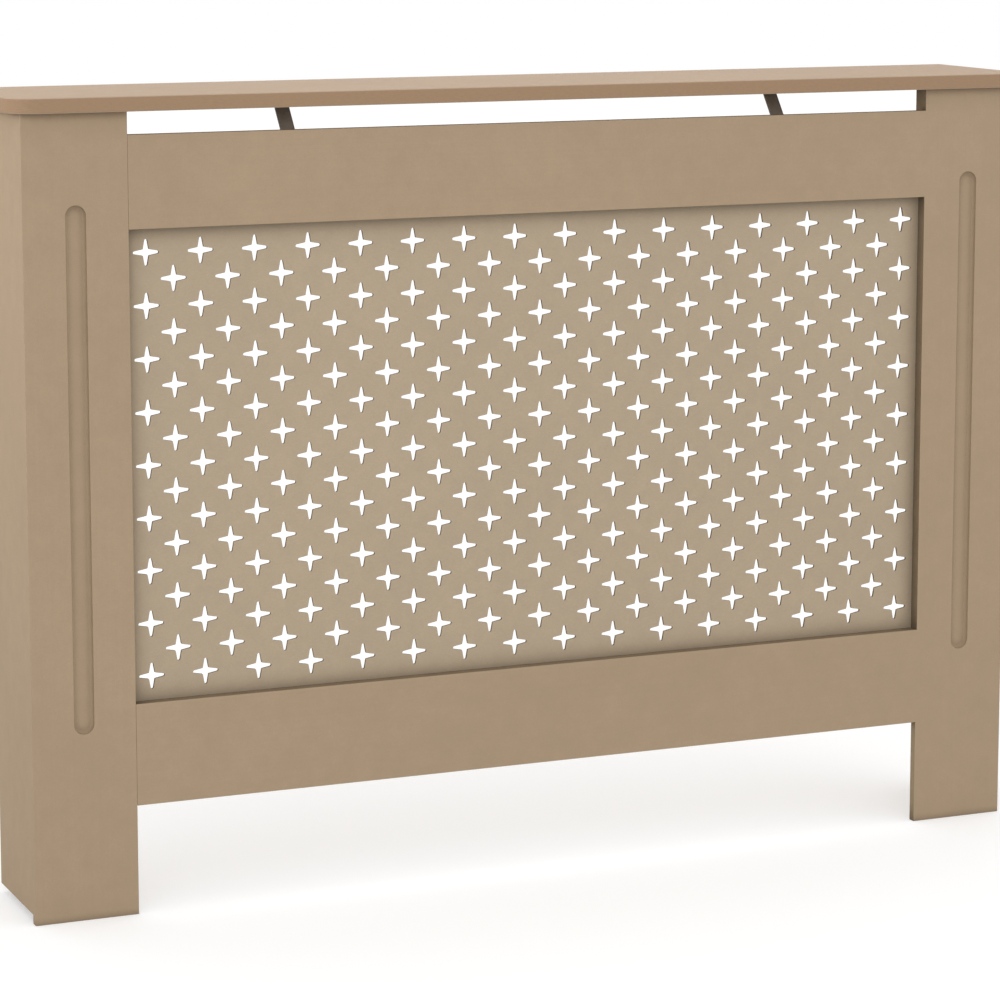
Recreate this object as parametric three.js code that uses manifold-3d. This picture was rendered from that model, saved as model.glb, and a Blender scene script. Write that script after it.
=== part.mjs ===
// Radiator cover cabinet: an open-backed MDF casing that stands over a wall radiator.
//
// Units are millimetres and +Z is up. The width runs along X and the front faces -Y. The origin lies on
// the floor, under the middle of the shelf. Inside the group, y = 0 is the front face of the stiles and
// rails, and y grows towards the wall; the group itself is shifted so that the depth is centred.
//
// The front is two layers thick: 9 mm stiles and rails show outside, and a 12 mm subframe of battens is
// glued behind them. The subframe is grooved all round the opening and holds the perforated grille panel.

import * as THREE from 'three';
import { mergeVertices } from 'three/addons/utils/BufferGeometryUtils.js';
import Module from 'manifold-3d';

const wasm = await Module();
wasm.setup();

// ---------------------------------------------------------------------------------------------------
// Driving dimensions
// ---------------------------------------------------------------------------------------------------

// Overall
const coverWidth = 1120;
const coverDepth = 190;
const coverHeight = 815;

// Shelf
const shelfThickness = 15;
const shelfFrontOverhang = 12;
const shelfSideOverhang = 13;
const shelfCornerRadius = 30;

// Front: stiles, rails and the two gaps beside them
const frontThickness = 9;
const stileWidth = 106;
const floorGap = 111;
const bottomRailHeight = 103;
const topRailHeight = 92;
const ventHeight = 23;

// Decorative groove routed down each stile
const fluteWidth = 20.5;
const fluteDepth = 5;
const fluteOverrun = 25.5; // how far it runs past the grille opening at each end
const fluteCornerBevel = 1.8; // where its floor meets its wall

// Grooved subframe behind the front
const subframeThickness = 12;
const subframeWidth = 40;
const panelGrooveDepth = 5;
const panelGrooveSetback = 4; // from the subframe's front face to the panel's front face

// Grille panel: four-pointed stars in staggered rows
const grilleThickness = 3;
const starPitchX = 56;
const starPitchZ = 52.8;
const starReach = 13.2; // centre to tip
const starWaist = 4.4; // centre to the inner corner between two arms
const starMargin = 6; // least wood between a tip and the edge of the opening

// Side panels
const sideThickness = 12;
const sideFloorClearance = 9;
const skirtingNotchDepth = 48;
const skirtingNotchStraight = 119; // height of its straight edge; a quarter round follows

// Square strips inside the corners and under the shelf
const stripSize = 20;
const cornerBattenRise = 30; // its lower end above the floor
const cleatRearGap = 40; // it ends out of sight of the vent, short of the side panel's back

// Bent steel braces between the top rail and the shelf
const braceSpacing = 543;
const braceWidth = 15;
const braceThickness = 2;
const braceBendRadius = 3;
const braceBendDrop = 8.6; // the lower bend lies this far below the top rail's edge
const braceLean = THREE.MathUtils.degToRad(38.4); // from the vertical
const braceUpperFoot = 36;
const braceFootClearance = 3; // from the subframe to the brace's lower end
const braceHoleInset = 6.5;

// Steel angles that fix the cabinet to the wall
const bracketHeight = 25;
const bracketSideLeg = 30;
const bracketWallLeg = 20;
const bracketThickness = 2;
const bracketBendRadius = 3;
const bracketDrop = 100; // its middle below the shelf
const bracketHoleInset = 6.5;
const wallHoleRadius = 2.75;

// Fasteners
const fastenerSides = 8;
const holeClearance = 0.3;
const screwShankRadius = 1.75;
const screwPointLength = 2.5;
const countersunkRadius = 3.6;
const countersunkHeight = 2.2;
const panHeadRadius = 3.4;
const panHeadTopRadius = 2.7;
const panHeadHeight = 2.1;
const cornerScrewLength = 25;
const cornerScrewEndInset = 70;
const cornerScrewCount = 3;
const shelfScrewLength = 28;
const shelfScrewEndInset = 22;
const braceScrewLength = 8;
const bracketScrewLength = 10;
const dowelRadius = 3;
const dowelLength = 30;
const dowelChamfer = 0.8;
const dowelEndInset = 12;

const arcSteps = 6; // per quarter round
const bendSteps = 3; // per bend in sheet steel
const runOut = 1; // how far a cutter starts outside the face it cuts

// ---------------------------------------------------------------------------------------------------
// Planes that several pieces share
// ---------------------------------------------------------------------------------------------------

const frontHalfWidth = coverWidth / 2 - shelfSideOverhang;
const openingHalfWidth = frontHalfWidth - stileWidth;
const sideInner = frontHalfWidth - sideThickness;
const stripInner = sideInner - stripSize;

const frontBack = frontThickness;
const subframeBack = frontBack + subframeThickness;
const stripBack = frontBack + stripSize;
const rearPlane = coverDepth - shelfFrontOverhang;

const underside = coverHeight - shelfThickness;
const ventLow = underside - ventHeight;
const openingHigh = ventLow - topRailHeight;
const openingLow = floorGap + bottomRailHeight;

const panelFront = frontBack + panelGrooveSetback;
const panelBack = panelFront + grilleThickness;

const SIDES = [['left', -1], ['right', 1]];

// ---------------------------------------------------------------------------------------------------
// Materials
// ---------------------------------------------------------------------------------------------------

const finish = (color, roughness, metalness = 0) => ({ color, roughness, metalness });
const mdf = finish(0xaa957c, 0.85);
const mdfShelf = finish(0xb6a086, 0.85);
const hardboard = finish(0xa5967d, 0.85);
const softwood = finish(0xc4a376, 0.8);
const beech = finish(0xcfae80, 0.75);
const darkSteel = finish(0x57504a, 0.5, 0.7);
const zincSteel = finish(0x9a9893, 0.4, 0.8);

// ---------------------------------------------------------------------------------------------------
// Shape helpers
// ---------------------------------------------------------------------------------------------------

// A box given by its low and high limits on each axis; a pair may come in either order.
function box([x0, x1], [y0, y1], [z0, z1]) {
  const geometry = new THREE.BoxGeometry(Math.abs(x1 - x0), Math.abs(y1 - y0), Math.abs(z1 - z0));
  return geometry.translate((x0 + x1) / 2, (y0 + y1) / 2, (z0 + z1) / 2);
}

function extrude(shape, depth, right, up, out) {
  const geometry = new THREE.ExtrudeGeometry(shape, { depth, bevelEnabled: false, curveSegments: arcSteps });
  return geometry.applyMatrix4(new THREE.Matrix4().makeBasis(right, up, out));
}

const X = new THREE.Vector3(1, 0, 0);
const Y = new THREE.Vector3(0, 1, 0);
const Z = new THREE.Vector3(0, 0, 1);

// A profile drawn in front view (x, z), whose front face lies at y.
const frontProfile = (shape, thickness, y) =>
  extrude(shape, thickness, X, Z, Y.clone().negate()).translate(0, y + thickness, 0);

// A profile drawn in side view (y, z), extruded towards +X from x.
const sideProfile = (shape, thickness, x) => extrude(shape, thickness, Y, Z, X).translate(x, 0, 0);

// A profile drawn in plan (x, y), extruded upwards from z.
const planProfile = (shape, thickness, z) => extrude(shape, thickness, X, Y, Z).translate(0, 0, z);

// Outline of a strip of constant thickness, bent with a round at each inner corner of its centre line.
function bentStrip(corners, thickness, bendRadius) {
  const stations = [];
  corners.forEach((corner, i) => {
    const before = corners[i - 1];
    const after = corners[i + 1];
    if (!before || !after) {
      const along = before ? corner.clone().sub(before) : after.clone().sub(corner);
      stations.push({ point: corner, normal: perpendicular(along.normalize()) });
      return;
    }
    const incoming = corner.clone().sub(before).normalize();
    const outgoing = after.clone().sub(corner).normalize();
    const turn = Math.atan2(incoming.cross(outgoing), incoming.dot(outgoing));
    const tangent = bendRadius * Math.tan(Math.abs(turn) / 2);
    const startNormal = perpendicular(incoming);
    const reach = bendRadius * Math.sign(turn);
    const centre = corner.clone().addScaledVector(incoming, -tangent).addScaledVector(startNormal, reach);
    for (let step = 0; step <= bendSteps; step++) {
      const normal = startNormal.clone().rotateAround(new THREE.Vector2(), (turn * step) / bendSteps);
      stations.push({ point: centre.clone().addScaledVector(normal, -reach), normal });
    }
  });
  const half = thickness / 2;
  const leftEdge = stations.map(({ point, normal }) => point.clone().addScaledVector(normal, half));
  const rightEdge = stations.map(({ point, normal }) => point.clone().addScaledVector(normal, -half));
  return new THREE.Shape([...rightEdge, ...leftEdge.reverse()]);
}

const perpendicular = (direction) => new THREE.Vector2(-direction.y, direction.x);

// A turned body. The profile runs from its tip, at negative heights, to its head; it is revolved about
// Y, turned so that its head points along `direction`, and moved to `position`.
function turned(profile, direction, position) {
  const points = profile.map(([radius, height]) => new THREE.Vector2(radius, height));
  const geometry = new THREE.LatheGeometry(points, fastenerSides, Math.PI / fastenerSides);
  geometry.applyQuaternion(new THREE.Quaternion().setFromUnitVectors(Y, direction));
  return geometry.translate(position.x, position.y, position.z);
}

// ---------------------------------------------------------------------------------------------------
// Booleans
// ---------------------------------------------------------------------------------------------------

function toSolid(geometry) {
  const bare = geometry.clone();
  bare.deleteAttribute('normal');
  bare.deleteAttribute('uv');
  const merged = mergeVertices(bare, 1e-4);
  const corners = merged.index.array;
  const triangles = [];
  for (let i = 0; i < corners.length; i += 3) {
    const [a, b, c] = corners.slice(i, i + 3);
    if (a !== b && b !== c && c !== a) {
      triangles.push(a, b, c);
    }
  }
  const vertProperties = new Float32Array(merged.attributes.position.array);
  const triVerts = new Uint32Array(triangles);
  return new wasm.Manifold(new wasm.Mesh({ numProp: 3, vertProperties, triVerts }));
}

function toGeometry(solid) {
  const mesh = solid.getMesh();
  const geometry = new THREE.BufferGeometry();
  geometry.setAttribute('position', new THREE.BufferAttribute(new Float32Array(mesh.vertProperties), 3));
  geometry.setIndex(new THREE.BufferAttribute(new Uint32Array(mesh.triVerts), 1));
  const facets = geometry.toNonIndexed();
  facets.computeVertexNormals();
  return facets;
}

// The geometry less every cutter.
function cut(geometry, cutters) {
  return toGeometry(cutters.reduce((solid, cutter) => solid.subtract(toSolid(cutter)), toSolid(geometry)));
}

// ---------------------------------------------------------------------------------------------------
// The cabinet
// ---------------------------------------------------------------------------------------------------

const cabinet = new THREE.Group();
cabinet.name = 'radiator_cover_cabinet';
cabinet.position.y = shelfFrontOverhang - coverDepth / 2;

function add(name, geometry, look) {
  const mesh = new THREE.Mesh(geometry, new THREE.MeshStandardMaterial(look));
  mesh.name = name;
  cabinet.add(mesh);
}

// ---------------------------------------------------------------------------------------------------
// Fasteners: each has a body to add and a cutter that the boards it passes through share
// ---------------------------------------------------------------------------------------------------

// Countersunk screw, its head flush with the surface at `position`, driven against `direction`.
function countersunkScrew(name, length, direction, position) {
  const c = holeClearance;
  const body = [
    [0, -length], [screwShankRadius, screwPointLength - length], [screwShankRadius, -countersunkHeight],
    [countersunkRadius, 0], [0, 0],
  ];
  const hole = [
    [0, -length - c], [screwShankRadius + c, -length - c], [screwShankRadius + c, -countersunkHeight],
    [countersunkRadius + c, 0], [countersunkRadius + c, runOut], [0, runOut],
  ];
  return { name, body: turned(body, direction, position), hole: turned(hole, direction, position) };
}

// Pan-head screw, its head bearing on the surface at `position`, driven against `direction`.
function panHeadScrew(name, length, direction, position) {
  const c = holeClearance;
  const body = [
    [0, -length], [screwShankRadius, screwPointLength - length], [screwShankRadius, 0],
    [panHeadRadius, 0], [panHeadTopRadius, panHeadHeight], [0, panHeadHeight],
  ];
  const hole = [
    [0, -length - c], [screwShankRadius + c, -length - c], [screwShankRadius + c, runOut], [0, runOut],
  ];
  return { name, body: turned(body, direction, position), hole: turned(hole, direction, position) };
}

// Fluted dowels are shown plain, with chamfered ends, centred on the joint between two boards.
function dowel(name, direction, position) {
  const c = holeClearance;
  const half = dowelLength / 2;
  const body = [
    [0, -half], [dowelRadius - dowelChamfer, -half], [dowelRadius, dowelChamfer - half],
    [dowelRadius, half - dowelChamfer], [dowelRadius - dowelChamfer, half], [0, half],
  ];
  const hole = [
    [0, -half - c], [dowelRadius + c, -half - c], [dowelRadius + c, half + c], [0, half + c],
  ];
  return { name, body: turned(body, direction, position), hole: turned(hole, direction, position) };
}

const holesOf = (fasteners) => fasteners.map((fastener) => fastener.hole);
const addAll = (fasteners, look) => fasteners.forEach(({ name, body }) => add(name, body, look));

// `count` places from `low` to `high`, both ends included.
function spread(low, high, count) {
  return Array.from({ length: count }, (_, i) => low + ((high - low) * i) / (count - 1));
}

// Three screws hold each corner batten to the back of its stile.
const cornerScrewX = frontHalfWidth - sideThickness - stripSize / 2;
function cornerScrews(side, sign) {
  const lowest = cornerBattenRise + cornerScrewEndInset;
  const heights = spread(lowest, underside - cornerScrewEndInset, cornerScrewCount);
  return heights.map((z, i) => countersunkScrew(`corner_screw_${side}_${i + 1}`, cornerScrewLength, Y,
    new THREE.Vector3(sign * cornerScrewX, stripBack, z)));
}

// Two screws rise through each cleat into the shelf.
const cleatFront = stripBack;
const cleatRear = rearPlane - cleatRearGap;
const cleatLow = underside - stripSize;
function shelfScrews(side, sign) {
  const places = spread(cleatFront + shelfScrewEndInset, cleatRear - shelfScrewEndInset, 2);
  return places.map((y, i) => countersunkScrew(`shelf_screw_${side}_${i + 1}`, shelfScrewLength,
    Z.clone().negate(), new THREE.Vector3(sign * cornerScrewX, y, cleatLow)));
}

// The brace's centre line in side view, from its lower foot up and back to its upper foot.
const braceFootY = frontBack + braceThickness / 2;
const braceTopZ = underside - braceThickness / 2;
const braceBendZ = ventLow - braceBendDrop;
const braceTopY = braceFootY + (braceTopZ - braceBendZ) * Math.tan(braceLean);
const braceLow = openingHigh + subframeWidth + braceFootClearance;
const braceEnd = braceTopY + braceUpperFoot;

// Each foot of a brace has two screws.
function braceScrews(side, sign) {
  const x = (sign * braceSpacing) / 2;
  const lower = spread(braceLow + braceHoleInset, braceBendZ - braceHoleInset, 2);
  const upper = spread(braceTopY + braceHoleInset, braceEnd - braceHoleInset, 2);
  const lowerFace = frontBack + braceThickness;
  const upperFace = underside - braceThickness;
  return {
    lower: lower.map((z, i) => panHeadScrew(`brace_screw_${side}_lower_${i + 1}`, braceScrewLength, Y,
      new THREE.Vector3(x, lowerFace, z))),
    upper: upper.map((y, i) => panHeadScrew(`brace_screw_${side}_upper_${i + 1}`, braceScrewLength,
      Z.clone().negate(), new THREE.Vector3(x, y, upperFace))),
  };
}

// Two screws hold each wall bracket to the inner face of its side panel.
const bracketMiddle = underside - bracketDrop;
const bracketFront = rearPlane - bracketSideLeg;
function bracketScrews(side, sign) {
  const inset = bracketThickness + bracketBendRadius + panHeadRadius;
  const places = spread(bracketFront + bracketHoleInset, rearPlane - inset, 2);
  const inward = X.clone().multiplyScalar(-sign);
  const faceX = sign * (sideInner - bracketThickness);
  return places.map((y, i) => panHeadScrew(`bracket_screw_${side}_${i + 1}`, bracketScrewLength, inward,
    new THREE.Vector3(faceX, y, bracketMiddle)));
}

// Two dowels join each end of a rail backing to the stile batten beside it.
const dowelY = frontBack + subframeThickness / 2;
function frameDowels(level, low, high, side, sign) {
  const heights = spread(low + dowelEndInset, high - dowelEndInset, 2);
  return heights.map((z, i) => dowel(`frame_dowel_${level}_${side}_${i + 1}`, X,
    new THREE.Vector3(sign * openingHalfWidth, dowelY, z)));
}

// ---------------------------------------------------------------------------------------------------
// Shelf
// ---------------------------------------------------------------------------------------------------

function shelf(screws) {
  const half = coverWidth / 2;
  const front = -shelfFrontOverhang;
  const r = shelfCornerRadius;
  const outline = new THREE.Shape();
  outline.moveTo(-half, rearPlane);
  outline.lineTo(-half, front + r);
  outline.absarc(-half + r, front + r, r, Math.PI, 1.5 * Math.PI, false);
  outline.lineTo(half - r, front);
  outline.absarc(half - r, front + r, r, -0.5 * Math.PI, 0, false);
  outline.lineTo(half, rearPlane);
  return cut(planProfile(outline, shelfThickness, underside), holesOf(screws));
}

// ---------------------------------------------------------------------------------------------------
// Front layer
// ---------------------------------------------------------------------------------------------------

// Cutter for the round-ended groove: its floor meets its wall in a small bevel.
function fluteCutter(x) {
  const r = fluteWidth / 2;
  const low = openingLow - fluteOverrun + r;
  const high = openingHigh + fluteOverrun - r;
  const outline = new THREE.Shape();
  outline.absarc(x, low, r, Math.PI, 2 * Math.PI, false);
  outline.absarc(x, high, r, 0, Math.PI, false);
  const geometry = new THREE.ExtrudeGeometry(outline, {
    depth: fluteDepth,
    curveSegments: arcSteps,
    bevelThickness: fluteCornerBevel,
    bevelSize: fluteCornerBevel,
    bevelOffset: -fluteCornerBevel,
    bevelSegments: 1,
  });
  const layFlat = new THREE.Matrix4().makeBasis(X, Z, Y.clone().negate());
  return geometry.applyMatrix4(layFlat).translate(0, fluteDepth - fluteCornerBevel, 0);
}

function stile(sign, screws) {
  const board = box([sign * openingHalfWidth, sign * frontHalfWidth], [0, frontBack], [0, underside]);
  const middle = (sign * (openingHalfWidth + frontHalfWidth)) / 2;
  return cut(board, [fluteCutter(middle), ...holesOf(screws)]);
}

function rail(low, high, screws) {
  return cut(box([-openingHalfWidth, openingHalfWidth], [0, frontBack], [low, high]), holesOf(screws));
}

// ---------------------------------------------------------------------------------------------------
// Subframe
// ---------------------------------------------------------------------------------------------------

const panelSlotY = [panelFront - holeClearance / 2, panelBack + holeClearance / 2];

function stileBatten(sign, dowels) {
  const x = [sign * openingHalfWidth, sign * (openingHalfWidth + subframeWidth)];
  const board = box(x, [frontBack, subframeBack], [floorGap, underside]);
  const slotX = [sign * (openingHalfWidth - runOut), sign * (openingHalfWidth + panelGrooveDepth)];
  const slot = box(slotX, panelSlotY, [openingLow - panelGrooveDepth, openingHigh + panelGrooveDepth]);
  return cut(board, [slot, ...holesOf(dowels)]);
}

// `edge` is the height of the edge that faces the opening, and `away` is +1 above it, -1 below it.
function railBacking(edge, away, dowels) {
  const x = [-openingHalfWidth, openingHalfWidth];
  const board = box(x, [frontBack, subframeBack], [edge, edge + away * subframeWidth]);
  const slotX = [-openingHalfWidth - runOut, openingHalfWidth + runOut];
  const slot = box(slotX, panelSlotY, [edge - away * runOut, edge + away * panelGrooveDepth]);
  return cut(board, [slot, ...holesOf(dowels)]);
}

// ---------------------------------------------------------------------------------------------------
// Grille panel
// ---------------------------------------------------------------------------------------------------

// Cutter for a four-pointed star: tips on the axes, inner corners on the diagonals.
function starCutter([x, z]) {
  const inner = starWaist / Math.SQRT2;
  const quarter = [new THREE.Vector2(starReach, 0), new THREE.Vector2(inner, inner)];
  const outline = [];
  for (let turn = 0; turn < 4; turn++) {
    for (const point of quarter) {
      outline.push(point.clone().rotateAround(new THREE.Vector2(), (turn * Math.PI) / 2));
    }
  }
  const prism = frontProfile(new THREE.Shape(outline), grilleThickness + 2 * runOut, panelFront - runOut);
  return prism.translate(x, 0, z);
}

// Full rows alternate with rows shifted by half a pitch that hold one star fewer.
function starCentres() {
  const room = 2 * (starReach + starMargin);
  const columns = Math.floor((2 * openingHalfWidth - room) / starPitchX) + 1;
  const rows = Math.floor((openingHigh - openingLow - room) / starPitchZ) + 1;
  const middle = (openingLow + openingHigh) / 2;
  const centres = [];
  for (let line = 0; line < 2 * rows - 1; line++) {
    const count = line % 2 === 0 ? columns : columns - 1;
    const z = middle + ((line - rows + 1) * starPitchZ) / 2;
    for (let i = 0; i < count; i++) {
      centres.push([(i - (count - 1) / 2) * starPitchX, z]);
    }
  }
  return centres;
}

function grillePanel() {
  const engagement = panelGrooveDepth - holeClearance;
  const x = [-openingHalfWidth - engagement, openingHalfWidth + engagement];
  const z = [openingLow - engagement, openingHigh + engagement];
  return cut(box(x, [panelFront, panelBack], z), starCentres().map(starCutter));
}

// ---------------------------------------------------------------------------------------------------
// Side panels and the strips inside them
// ---------------------------------------------------------------------------------------------------

function sidePanel(sign, screws) {
  const notchFront = rearPlane - skirtingNotchDepth;
  const notchTop = sideFloorClearance + skirtingNotchStraight;
  const outline = new THREE.Shape();
  outline.moveTo(frontBack, sideFloorClearance);
  outline.lineTo(notchFront, sideFloorClearance);
  outline.absarc(rearPlane, notchTop, skirtingNotchDepth, Math.PI, Math.PI / 2, true);
  outline.lineTo(rearPlane, underside);
  outline.lineTo(frontBack, underside);
  const board = sideProfile(outline, sideThickness, Math.min(sign * sideInner, sign * frontHalfWidth));
  return cut(board, holesOf(screws));
}

function cornerBatten(sign, screws) {
  const x = [sign * stripInner, sign * sideInner];
  return cut(box(x, [frontBack, stripBack], [cornerBattenRise, underside]), holesOf(screws));
}

function shelfCleat(sign, screws) {
  const cleat = box([sign * stripInner, sign * sideInner], [cleatFront, cleatRear], [cleatLow, underside]);
  return cut(cleat, holesOf(screws));
}

// ---------------------------------------------------------------------------------------------------
// Steel parts
// ---------------------------------------------------------------------------------------------------

function shelfBrace(sign, screws) {
  const centreLine = [
    new THREE.Vector2(braceFootY, braceLow), new THREE.Vector2(braceFootY, braceBendZ),
    new THREE.Vector2(braceTopY, braceTopZ), new THREE.Vector2(braceEnd, braceTopZ),
  ];
  const outline = bentStrip(centreLine, braceThickness, braceBendRadius);
  const strip = sideProfile(outline, braceWidth, (sign * braceSpacing) / 2 - braceWidth / 2);
  return cut(strip, holesOf(screws));
}

// One leg lies on the side panel and the other is flush with the cabinet's back, with a hole for the
// wall screw.
function wallBracket(sign, screws) {
  const inset = bracketThickness / 2;
  const centreLine = [
    new THREE.Vector2(sign * (sideInner - inset), bracketFront),
    new THREE.Vector2(sign * (sideInner - inset), rearPlane - inset),
    new THREE.Vector2(sign * (sideInner - bracketWallLeg), rearPlane - inset),
  ];
  const outline = bentStrip(centreLine, bracketThickness, bracketBendRadius);
  const angle = planProfile(outline, bracketHeight, bracketMiddle - bracketHeight / 2);
  const holeX = sign * (sideInner - bracketWallLeg / 2 - inset);
  const holeLength = 2 * (bracketThickness + runOut);
  const wallHole = new THREE.CylinderGeometry(wallHoleRadius, wallHoleRadius, holeLength, fastenerSides);
  wallHole.translate(holeX, rearPlane, bracketMiddle);
  return cut(angle, [wallHole, ...holesOf(screws)]);
}

// ---------------------------------------------------------------------------------------------------
// Assembly
// ---------------------------------------------------------------------------------------------------

const shelfHoles = [];
const topRailHoles = [];
const backingDowels = { top: [], bottom: [] };
const backingSpan = {
  top: [openingHigh, openingHigh + subframeWidth],
  bottom: [openingLow - subframeWidth, openingLow],
};

for (const [side, sign] of SIDES) {
  const corner = cornerScrews(side, sign);
  const shelving = shelfScrews(side, sign);
  const bracing = braceScrews(side, sign);
  const walling = bracketScrews(side, sign);
  const dowels = Object.entries(backingSpan).flatMap(([level, [low, high]]) => {
    const pair = frameDowels(level, low, high, side, sign);
    backingDowels[level].push(...pair);
    return pair;
  });
  shelfHoles.push(...shelving, ...bracing.upper);
  topRailHoles.push(...bracing.lower);

  add(`stile_${side}`, stile(sign, corner), mdf);
  add(`stile_batten_${side}`, stileBatten(sign, dowels), mdf);
  add(`side_panel_${side}`, sidePanel(sign, walling), mdf);
  add(`corner_batten_${side}`, cornerBatten(sign, corner), softwood);
  add(`shelf_cleat_${side}`, shelfCleat(sign, shelving), softwood);
  add(`shelf_brace_${side}`, shelfBrace(sign, [...bracing.lower, ...bracing.upper]), darkSteel);
  add(`wall_bracket_${side}`, wallBracket(sign, walling), zincSteel);
  addAll(dowels, beech);
  addAll(corner, zincSteel);
  addAll(shelving, zincSteel);
  addAll([...bracing.lower, ...bracing.upper], darkSteel);
  addAll(walling, zincSteel);
}

add('shelf', shelf(shelfHoles), mdfShelf);
add('top_rail', rail(openingHigh, ventLow, topRailHoles), mdf);
add('bottom_rail', rail(floorGap, openingLow, []), mdf);
add('rail_backing_top', railBacking(openingHigh, 1, backingDowels.top), mdf);
add('rail_backing_bottom', railBacking(openingLow, -1, backingDowels.bottom), mdf);
add('grille_panel', grillePanel(), hardboard);

export default cabinet;
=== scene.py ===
"""Radiator cover cabinet in bare fibreboard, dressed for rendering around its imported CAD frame.

Metres throughout, +Z up, the front faces -Y. Every piece takes its place from the CAD nodes' boxes.
"""

import math

import bmesh
import bpy
from mathutils import Matrix, Vector


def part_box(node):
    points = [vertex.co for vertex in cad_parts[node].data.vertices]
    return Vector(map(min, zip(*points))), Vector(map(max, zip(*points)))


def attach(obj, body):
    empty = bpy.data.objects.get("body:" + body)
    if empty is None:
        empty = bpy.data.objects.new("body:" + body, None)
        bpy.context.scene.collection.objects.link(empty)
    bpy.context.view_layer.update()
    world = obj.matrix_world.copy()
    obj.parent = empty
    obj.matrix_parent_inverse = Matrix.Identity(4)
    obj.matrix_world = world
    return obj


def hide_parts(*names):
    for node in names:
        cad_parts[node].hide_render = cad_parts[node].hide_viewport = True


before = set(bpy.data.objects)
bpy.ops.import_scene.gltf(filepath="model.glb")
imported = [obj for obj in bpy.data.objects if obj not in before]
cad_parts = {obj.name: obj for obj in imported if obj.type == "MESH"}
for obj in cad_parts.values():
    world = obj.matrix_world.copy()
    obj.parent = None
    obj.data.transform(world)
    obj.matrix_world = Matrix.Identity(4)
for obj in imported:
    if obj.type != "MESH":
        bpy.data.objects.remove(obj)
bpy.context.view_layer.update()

MM = 0.001

# ---------------------------------------------------------------------------------------------------
# Sizes that only the dressed pieces have
# ---------------------------------------------------------------------------------------------------

EDGE_EASE = 0.45 * MM  # sanded arris on every board but the shelf
SHELF_EASE = 1.6 * MM
STRIP_EASE = 1.0 * MM  # planed arris on the softwood strips
STEEL_EASE = 0.25 * MM
EASE_STEPS = 3
ARC_STEPS = 14  # in a quarter round

SMOOTH_BELOW = math.radians(40)  # a fold under this angle is shaded smooth
OUTLINE_EDGE = math.radians(60)  # an extruded outline's fold over this angle is eased
CAD_EDGE = math.radians(70)  # and a CAD solid's over this one
MERGE_DISTANCE = 1e-7
WELD_DISTANCE = 1e-6

FLUTE_DEPTH = 5.0 * MM
FLUTE_WIDTH = 20.5 * MM
FLUTE_OVERRUN = 25.5 * MM  # past the grille opening at each end
FLUTE_CORNER = 3.4 * MM  # round between its wall and its floor
FLUTE_CORNER_STEPS = 4
FLUTE_RIM = 0.35 * MM
FLUTE_RIM_STEPS = 3

STAR_REACH = 13.2 * MM
STAR_WAIST = 3.1 * MM  # inner corner's distance from each axis
STAR_TIP = 1.5 * MM  # radius of each rounded tip
STAR_TIP_STEPS = 6
STAR_INNER_ROUND = 0.5 * MM
STAR_PITCH_X = 56.0 * MM
STAR_PITCH_Z = 52.8 * MM
STAR_COLUMNS = 16
STAR_ROWS = 9
STAR_EASE = 0.2 * MM

SHELF_CORNER = 30.0 * MM
NOTCH_DEPTH = 48.0 * MM
NOTCH_STRAIGHT = 119.0 * MM

STEEL_GAUGE = 2.0 * MM
BEND_STEPS = 8
STRIP_END_STEPS = 5
STRIP_ARRIS_STEPS = 3
BRACE_BEND = 3.0 * MM
BRACE_END_ROUND = 2.5 * MM
BRACE_LEAN = math.radians(38.4)
BRACE_BEND_DROP = 8.6 * MM  # from the top rail's upper edge to the lower bend
BRACKET_BEND = 3.0 * MM
BRACKET_CORNER = 3.0 * MM
BRACKET_HOLE = 2.75 * MM  # radius
BRACKET_HOLE_SIDES = 32

BRACE_SCREW = 8.0 * MM  # lengths under the head
BRACKET_SCREW = 10.0 * MM
CORNER_SCREW = 25.0 * MM  # lengths with the countersunk head
SHELF_SCREW = 28.0 * MM
SHANK = 1.75 * MM  # radius
SCREW_SIDES = 20
SCREW_PITCH = 1.6 * MM
SCREW_POINT = 2.5 * MM  # length of the tapered end
SCREW_POINT_GAP = 0.1 * MM  # from the point to the lowest ring
THREAD_HEIGHT = 0.35 * MM
THREAD_ROWS = 6  # in a pitch
THREAD_STEEPNESS = 3.2  # of each ridge's flanks, in thread heights per pitch
PAN_HEAD = ((0.0, 1.75), (0.02, 3.35), (0.12, 3.4), (0.75, 3.4),  # (z, radius) from below, in mm:
            (1.2, 3.25), (1.6, 2.9), (1.9, 2.35), (2.1, 1.4))  # bearing face, rim and domed top
COUNTERSUNK_HEAD = ((-2.2, 1.75), (-0.25, 3.5), (-0.1, 3.6), (0.0, 3.5))
RECESS_DEPTH = 1.5 * MM
RECESS_OVERRUN = 0.4 * MM  # over the head, so that the cut goes through its top
RECESS_REACH = 1.9 * MM
RECESS_WING = 0.42 * MM  # half a wing's width
RECESS_FLOOR = 0.45  # the wings' size at the bottom, as a share
RECESS_MOUTH = 1.08  # and at the cutter's top
DOWEL_LENGTH = 30.0 * MM
DOWEL_RADIUS = 3.0 * MM
DOWEL_CHAMFER = 0.8 * MM
DOWEL_FLUTES = 18
DOWEL_FLUTE_DEPTH = 0.18 * MM
DOWEL_FLUTE_SIDES = 4

# ---------------------------------------------------------------------------------------------------
# Procedural materials. Texture scales are in features per metre, and a pair is (low, high) unless it
# says otherwise.
# ---------------------------------------------------------------------------------------------------

NOISE_RANGE = (0.3, 0.7)  # most of a noise's values lie in it
OPENNESS_RANGE = (0.5, 0.95)  # painted shade: from a tight corner to open enough not to darken
OPENNESS_SAMPLES = 8
BLACK = (0.0, 0.0, 0.0, 1.0)
WHITE = (1.0, 1.0, 1.0, 1.0)


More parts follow.
